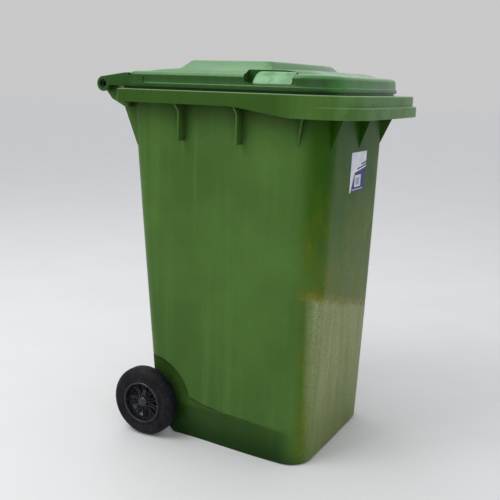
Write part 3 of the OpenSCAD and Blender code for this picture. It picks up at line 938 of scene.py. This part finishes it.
def body_green():
    """The tub: painted shade in hollows and on its foot, painted light on the band, an olive film
    on the front and a paler, patchy area low on it.
    """
    s, colour, rough, normal = moulded_green("green_body", TUB_GREEN, 0.26)
    x, y, z = (s.axis(name) for name in "XYZ")
    # the band: painted shade along the sides, darker than the walls; paler in front from painted
    # light and dust blotches; and a painted highlight where it faces up
    side_band = s.times(s.span(s.math("ABSOLUTE", x), 0.282, 0.289), s.span(y, -0.28, -0.16))
    colour = s.blend(s.times(side_band, 0.62), colour, BAND_SHADE)
    # paler front of the band: partly painted light, partly dust blotches
    paler_front = s.times(s.span(y, -0.310, -0.335),
                   s.span(s.noise(14.0, 4.0, 0.6), 0.30, 0.60, 0.25, 1.0))
    colour = s.blend(s.times(paler_front, 0.70), colour, BAND_LIGHT_AND_DUST)
    # painted highlight on the top faces of the band and its ledge, where they face up
    top_highlight = s.times(s.upward(0.25, 0.85), s.span(z, 0.90, 0.94))
    colour = s.blend(s.times(top_highlight, 0.80), colour, BAND_TOP_HIGHLIGHT)
    # painted shade: darker in corners, on the band under the lip and on the tuck by the wheels,
    # where nearby parts block the light
    corner = s.add("ShaderNodeAmbientOcclusion", {"Distance": 0.10}, samples=6).outputs["AO"]
    hollow_shade = s.times(s.span(corner, 0.85, 0.30),
                    s.span(s.noise(24.0, 4.0, 0.65), 0.2, 0.6, 0.7, 1.0))
    colour = s.blend(s.times(hollow_shade, 0.78), colour, HOLLOW_SHADE)
    # painted shade on the low foot below about 100 mm, which faces down, except at the front
    foot = s.times(s.span(z, 0.106, 0.086), s.span(y, -0.235, -0.175))
    colour = s.blend(s.times(foot, s.span(z, 0.10, 0.0, 0.55, 0.88)), colour, FOOT_SHADE)
    # front wall: painted shade at the top under the lip, an olive film below, then paler and patchy
    # below a slanted ragged line
    front = s.times(s.span(y, -0.214, -0.252), s.span(z, 0.924, 0.916))
    colour = s.blend(s.times(front, s.span(z, 0.45, 0.72, 0.0, 0.85)), colour, FRONT_TOP_SHADE)
    blotch = s.noise(17.0, 5.0, 0.66, (1, 1, 0.5))
    film = s.times(front, s.span(z, 0.93, 0.60, 0.15, 1.0))
    colour = s.blend(s.times(film, s.span(blotch, 0.36, 0.60, 0.15, 0.85)), colour, OLIVE_FILM)
    lichen = s.times(s.span(s.noise(95.0, 5.0, 0.72), 0.40, 0.60),
                     s.span(blotch, 0.40, 0.56, 0.3, 1.0))
    low_film = s.times(front, s.span(z, 0.72, 0.55))
    colour = s.blend(s.times(low_film, lichen, 0.52), colour, LICHEN)
    # below a slanted ragged line the front wall turns paler and patchy, with a yellowish line along
    # the edge
    tilted = s.math("ADD", z, s.times(x, 0.274))
    ragged = s.math("ADD", tilted, s.times(s.math("SUBTRACT", s.noise(60.0, 5.0, 0.7), 0.5), 0.05))
    fringe = s.times(s.span(ragged, 0.400, 0.412), s.span(ragged, 0.436, 0.418))
    fringe = s.times(fringe, front, s.span(s.noise(150.0, 3.0, 0.7), 0.4, 0.6, 0.2, 0.75))
    colour = s.blend(fringe, colour, EDGE_YELLOW)
    below_line = s.times(s.span(y, -0.236, -0.262), s.span(ragged, 0.418, 0.400))
    below_line = s.times(below_line, s.span(z, 0.02, 0.30, 0.45, 1.0))
    fine_noise = s.noise(250.0, 3.0, 0.75)
    long_noise = s.noise(48.0, 4.0, 0.6, (1, 1, 0.10))
    patchy = s.times(s.span(fine_noise, 0.38, 0.60, 0.45, 1.0), s.span(long_noise, 0.34, 0.62, 0.65, 1.0))
    dust = s.times(below_line, patchy)
    colour = s.blend(s.times(dust, 0.80), colour, PALE_LOW_FRONT)
    rough = s.math("ADD", rough, s.times(dust, 0.22))
    return s.finish(Base_Color=colour, Roughness=rough, Normal=normal, IOR=1.5,
                    Specular_IOR_Level=0.09)


def lid_green():
    """The lid: glossier, with painted top light where it faces up, painted shade in its hollows,
    and dark along its skirt.
    """
    s, colour, rough, normal = moulded_green("green_lid", LID_GREEN, 0.15)
    # painted top light: paler where the lid faces up
    top_light = s.times(s.upward(0.15, 0.65), s.span(s.noise(6.0, 4.0, 0.6), 0.2, 0.7, 0.65, 1.0))
    colour = s.blend(s.times(top_light, 0.75), colour, LID_TOP_LIGHT)
    # painted light along the front of the skirt, and a painted highlight on the two grip bars
    x, y, z = (s.axis(name) for name in "XYZ")
    paler_front = s.times(s.span(y, -0.270, -0.306), s.span(s.noise(14.0, 4.0, 0.6), 0.30, 0.60, 0.5, 1.0))
    colour = s.blend(s.times(paler_front, 0.80), colour, LID_FRONT_LIGHT)
    # painted highlight on the two grip bars, streaked by noise
    along = s.times(s.span(y, -0.208, -0.200), s.span(y, -0.094, -0.100))
    bar_highlight = s.times(s.span(s.math("ABSOLUTE", x), 0.243, 0.247), s.span(z, 1.000, 1.004))
    bar_highlight = s.times(bar_highlight, along, s.upward(0.15, 0.50))
    bar_highlight = s.times(bar_highlight, s.span(s.noise(40.0, 4.0, 0.6), 0.33, 0.62, 0.42, 0.98))
    colour = s.blend(bar_highlight, colour, LID_BAR_HIGHLIGHT)
    # painted shade in the lid's corners and creases
    corner = s.add("ShaderNodeAmbientOcclusion", {"Distance": 0.03}, samples=6).outputs["AO"]
    hollow_shade = s.times(s.span(corner, 0.80, 0.30),
                    s.span(s.noise(24.0, 4.0, 0.65), 0.2, 0.6, 0.6, 1.0))
    colour = s.blend(s.times(hollow_shade, 0.60), colour, LID_HOLLOW_SHADE)
    return s.finish(Base_Color=colour, Roughness=rough, Normal=normal, IOR=1.5,
                    Specular_IOR_Level=0.22)


def tyre_rubber():
    """Black solid rubber with dust in the grain and scuffs on the tread."""
    s = Shader("tyre_rubber")
    base = s.blend(s.span(s.noise(16.0, 4.0, 0.6), 0.35, 0.65), (0.0055, 0.0055, 0.0075),
                   (0.0115, 0.0110, 0.0140))
    dust = s.times(s.span(s.noise(60.0, 6.0, 0.72), 0.42, 0.70),
                   s.span(s.noise(5.0, 2.0), 0.35, 0.65))
    colour = s.blend(s.times(dust, 0.14), base, (0.095, 0.090, 0.088))
    specks = s.span(s.noise(340.0, 1.0, 0.5), 0.70, 0.78)
    colour = s.blend(s.times(specks, 0.5), colour, (0.20, 0.20, 0.21))
    rough = s.span(s.noise(30.0, 4.0, 0.6), 0.3, 0.7, 0.52, 0.70)
    grain = s.bump(s.noise(620.0, 3.0, 0.65), 0.22, 0.0005)
    return s.finish(Base_Color=colour, Roughness=rough, Normal=s.bump(dust, 0.12, 0.0006, grain),
                    Specular_IOR_Level=0.11)


def hub_plastic():
    """Glossy black moulding with fine swirl wear and settled dust."""
    s = Shader("hub_plastic")
    base = s.blend(s.span(s.noise(22.0, 3.0), 0.35, 0.65), (0.007, 0.008, 0.012),
                   (0.014, 0.015, 0.020))
    corner = s.add("ShaderNodeAmbientOcclusion", {"Distance": 0.012}, samples=4).outputs["AO"]
    settled = s.times(s.span(corner, 0.8, 0.35), s.span(s.noise(90.0, 5.0, 0.7), 0.35, 0.65))
    colour = s.blend(s.times(settled, 0.22), base, (0.10, 0.085, 0.065))
    rough = s.span(s.noise(70.0, 4.0, 0.65), 0.3, 0.7, 0.20, 0.36)
    grain = s.bump(s.noise(500.0, 2.0, 0.6), 0.06, 0.0003)
    return s.finish(Base_Color=colour, Roughness=rough, Normal=s.bump(settled, 0.1, 0.0005, grain))


def plain_black(name, low, high, shade):
    """Dark moulded plastic or rubber for the small parts."""
    s = Shader(name)
    colour = s.blend(s.span(s.noise(45.0, 4.0, 0.6), 0.35, 0.65), (shade, shade, shade * 1.04),
                     (shade * 1.7, shade * 1.7, shade * 1.75))
    rough = s.span(s.noise(120.0, 3.0, 0.6), 0.3, 0.7, low, high)
    return s.finish(Base_Color=colour, Roughness=rough,
                    Normal=s.bump(s.noise(600.0, 2.0), 0.12, 0.0003))


def axle_steel():
    """Zinc-plated bar with turning marks and a little rust bloom."""
    s = Shader("axle_steel")
    rings = s.noise(260.0, 3.0, 0.6, (3.0, 0.15, 0.15))
    rust = s.times(s.span(s.noise(34.0, 6.0, 0.7), 0.56, 0.72), 0.7)
    steel = s.blend(s.span(rings, 0.35, 0.65), (0.40, 0.40, 0.41), (0.58, 0.58, 0.59))
    colour = s.blend(rust, steel, (0.16, 0.070, 0.030))
    metal = s.math("SUBTRACT", 1.0, rust)
    rough = s.math("ADD", s.span(rings, 0.3, 0.7, 0.26, 0.42), s.times(rust, 0.4))
    return s.finish(Base_Color=colour, Metallic=metal, Roughness=rough,
                    Normal=s.bump(rings, 0.10, 0.0002))


def latch_steel():
    """Bright plated steel of the latch pins and springs."""
    s = Shader("latch_steel")
    marks = s.noise(900.0, 3.0, 0.6, (1, 1, 0.2))
    colour = s.blend(s.span(marks, 0.35, 0.65), (0.52, 0.52, 0.50), (0.68, 0.67, 0.64))
    return s.finish(Base_Color=colour, Metallic=1.0, Roughness=s.span(marks, 0.3, 0.7, 0.22, 0.36),
                    Normal=s.bump(marks, 0.08, 0.0001))


def bush_nylon():
    """Natural nylon of the hub bushes."""
    s = Shader("bush_nylon")
    colour = s.blend(s.span(s.noise(80.0, 4.0), 0.35, 0.65), (0.60, 0.57, 0.48), (0.72, 0.70, 0.62))
    return s.finish(Base_Color=colour, Roughness=s.span(s.noise(200.0, 3.0), 0.3, 0.7, 0.38, 0.52),
                    Normal=s.bump(s.noise(700.0, 2.0), 0.08, 0.0002))


def label_film():
    """Printed film: white above, a slanted blue field below with a pale panel. No lettering."""
    s = Shader("label_film")
    low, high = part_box("front_label")
    across = s.span_linear(s.axis("X"), low.x, high.x)
    up = s.span_linear(s.axis("Z"), low.z, high.z)

    def between(value, start, stop):
        return s.times(s.step(value, start), s.step(value, stop, below=True))

    slant = s.math("SUBTRACT", up, s.times(across, 0.14))
    lean = s.math("ADD", across, s.times(up, -0.42))
    field = s.times(s.step(slant, 0.45, below=True), s.step(lean, 0.055))
    bars = s.math("MAXIMUM", s.times(between(slant, 0.49, 0.53), s.step(across, 0.42)),
                  s.times(between(slant, 0.56, 0.60), s.step(across, 0.66)))
    rule = s.times(between(up, 0.045, 0.065), between(across, 0.14, 0.85))
    panel = s.math("MAXIMUM", rule, s.times(between(across, 0.28, 0.70), between(up, 0.12, 0.42)))
    block = s.times(between(across, 0.36, 0.60), between(up, 0.17, 0.35))
    white = s.blend(s.span(s.noise(40.0, 4.0), 0.3, 0.7), (0.66, 0.67, 0.76), (0.80, 0.81, 0.88))
    blue = s.blend(s.span(s.noise(60.0, 4.0), 0.3, 0.7), (0.006, 0.012, 0.105),
                   (0.012, 0.024, 0.160))
    colour = s.blend(s.math("MAXIMUM", field, bars), white, blue)
    colour = s.blend(panel, colour, (0.62, 0.64, 0.76))
    colour = s.blend(block, colour, (0.33, 0.34, 0.40))
    dirt = s.times(s.span(s.noise(55.0, 6.0, 0.7), 0.52, 0.72), 0.30)
    colour = s.blend(dirt, colour, (0.25, 0.25, 0.20))
    rough = s.span(s.noise(60.0, 4.0), 0.3, 0.7, 0.30, 0.46)
    return s.finish(Base_Color=colour, Roughness=rough,
                    Normal=s.bump(s.noise(22.0, 2.0), 0.2, 0.0006), Specular_IOR_Level=0.25)


def paint(obj, material):
    obj.data.materials.clear()
    obj.data.materials.append(material)


# ---- the object


def stand_for(obj, name, node, body, material):
    """Names a finished piece, gives it its material and puts it in its CAD node's place."""
    obj.name = name
    obj.data.name = name
    paint(obj, material)
    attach(obj, body)
    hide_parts(node)


body_material = body_green()
lid_material = lid_green()
rubber = tyre_rubber()
hub_black = hub_plastic()

stand_for(bin_body(), "tub_moulding", "bin_body", "bin", body_material)
stand_for(lid_shell(), "lid_moulding", "lid", "lid", lid_material)
stand_for(front_label(), "label_print", "front_label", "bin", label_film())

for build, part, slot_name, material in ((tyre, "tyre", "tyre_rubber", rubber),
                                         (wheel_hub, "wheel_hub", "hub_plastic", hub_black),
                                         (hub_cap, "hub_cap", "hub_plastic", hub_black)):
    right, left = pair(build)
    for side, obj in (("right", right), ("left", left)):
        smooth(obj)
        stand_for(obj, f"{side}_{part}_shape", f"{side}_{part}", f"{side}_wheel",
                  material)

small_black = plain_black("black_pin", 0.35, 0.5, 0.014)
spacer_black = plain_black("black_spacer", 0.4, 0.55, 0.016)
buffer_rubber = plain_black("buffer_rubber", 0.6, 0.75, 0.012)
steel = axle_steel()
bright_steel = latch_steel()
nylon = bush_nylon()

kept = {"wheel_axle": steel, "left_hinge_pin": small_black, "right_hinge_pin": small_black,
        "lid_buffers": buffer_rubber}
for side in ("left", "right"):
    kept.update({f"{side}_axle_spacer": spacer_black, f"{side}_hub_bush": nylon,
                 f"{side}_latch_pin": bright_steel, f"{side}_latch_spring": bright_steel,
                 f"{side}_latch_plug": hub_black})
for node_name, material in kept.items():
    node_object = frame["nodes"][node_name]
    paint(node_object, material)
    smooth(node_object)

# ---- stage


BACKDROP = 0.58


def studio_floor():
    """A wide, pale floor with a very slight mottle."""
    reach = 40.0
    mesh = bpy.data.meshes.new("studio_floor")
    ring = [(reach * math.cos(t), reach * math.sin(t), 0.0)
            for t in np.linspace(0, FULL_TURN, 64, endpoint=False)]
    mesh.from_pydata(ring, [], [tuple(range(len(ring)))])
    floor = bpy.data.objects.new("studio_floor", mesh)
    bpy.context.scene.collection.objects.link(floor)
    s = Shader("studio_floor")
    colour = s.blend(s.span(s.noise(3.0, 3.0), 0.3, 0.7), (0.635, 0.635, 0.635),
                     (0.650, 0.650, 0.650))
    paint(floor, s.finish(Base_Color=colour,
                          Roughness=s.span(s.noise(9.0, 3.0), 0.3, 0.7, 0.7, 0.85)))


def area_light(name, place, target, size, power):
    data = bpy.data.lights.new(name, "AREA")
    data.shape = "SQUARE"
    data.size = size
    data.energy = power
    lamp = bpy.data.objects.new(name, data)
    bpy.context.scene.collection.objects.link(lamp)
    aim = Vector(target) - Vector(place)
    turn = aim.to_track_quat("-Z", "Y").to_matrix().to_4x4()
    lamp.matrix_world = Matrix.Translation(place) @ turn


def sky():
    """Soft light, stronger from above and from behind the bin, and an even pale backdrop."""
    world = bpy.data.worlds.new("soft_sky")
    bpy.context.scene.world = world
    world.use_nodes = True
    tree = world.node_tree

    def add(kind, **settings):
        node = tree.nodes.new(kind)
        for key, value in settings.items():
            setattr(node, key, value)
        return node

    coords = add("ShaderNodeTexCoord").outputs["Generated"]
    height = add("ShaderNodeSeparateXYZ")
    tree.links.new(coords, height.inputs[0])
    ramp = add("ShaderNodeValToRGB")
    tree.links.new(height.outputs["Z"], ramp.inputs[0])
    ramp.color_ramp.elements[0].color = (0.58, 0.58, 0.59, 1)
    ramp.color_ramp.elements[1].color = (1.10, 1.12, 1.16, 1)
    ramp.color_ramp.elements[1].position = 0.75
    toward = add("ShaderNodeVectorMath", operation="DOT_PRODUCT")
    tree.links.new(coords, toward.inputs[0])
    toward.inputs[1].default_value = (0.88, 0.47, 0.10)
    gain = add("ShaderNodeMapRange")
    tree.links.new(toward.outputs["Value"], gain.inputs["Value"])
    for key, value in (("From Min", 0.65), ("From Max", 1.0), ("To Min", 0.80), ("To Max", 1.25)):
        gain.inputs[key].default_value = value
    light = tree.nodes["Background"]
    tree.links.new(ramp.outputs[0], light.inputs["Color"])
    tree.links.new(gain.outputs[0], light.inputs["Strength"])
    backdrop = add("ShaderNodeBackground")
    backdrop.inputs["Color"].default_value = (BACKDROP, BACKDROP, BACKDROP, 1)
    seen = add("ShaderNodeLightPath").outputs["Is Camera Ray"]
    mixer = add("ShaderNodeMixShader")
    tree.links.new(seen, mixer.inputs[0])
    tree.links.new(light.outputs[0], mixer.inputs[1])
    tree.links.new(backdrop.outputs[0], mixer.inputs[2])
    tree.links.new(mixer.outputs[0], tree.nodes["World Output"].inputs["Surface"])


def camera():
    """The viewing angle of the reference view: from the front left, a little above the rim."""
    yaw, pitch, roll = (math.radians(a) for a in (62.15, 12.33, 1.78))
    place = Vector((-1.9271, -0.9802, 0.9989))
    ahead = Vector((math.sin(yaw) * math.cos(pitch), math.cos(yaw) * math.cos(pitch),
                    -math.sin(pitch)))
    level = Vector((math.cos(yaw), -math.sin(yaw), 0.0))
    up = level.cross(ahead)
    right = level * math.cos(roll) + up * math.sin(roll)
    top = up * math.cos(roll) - level * math.sin(roll)
    data = bpy.data.cameras.new("camera")
    data.sensor_width = 36.0
    data.lens = 54.55
    data.clip_end = 200.0
    cam = bpy.data.objects.new("camera", data)
    bpy.context.scene.collection.objects.link(cam)
    cam.matrix_world = Matrix((
        (right.x, top.x, -ahead.x, place.x),
        (right.y, top.y, -ahead.y, place.y),
        (right.z, top.z, -ahead.z, place.z),
        (0, 0, 0, 1)))
    bpy.context.scene.camera = cam


studio_floor()
sky()
area_light("key", (-2.2, 1.5, 3.6), (0, 0, 0.8), 2.2, 74)
area_light("top", (0.5, 1.2, 3.8), (0, 0, 1.0), 2.4, 24)
area_light("fill", (-2.6, -1.8, 2.2), (0, 0, 0.5), 2.4, 14)
camera()
bpy.context.scene.view_settings.view_transform = "Standard"
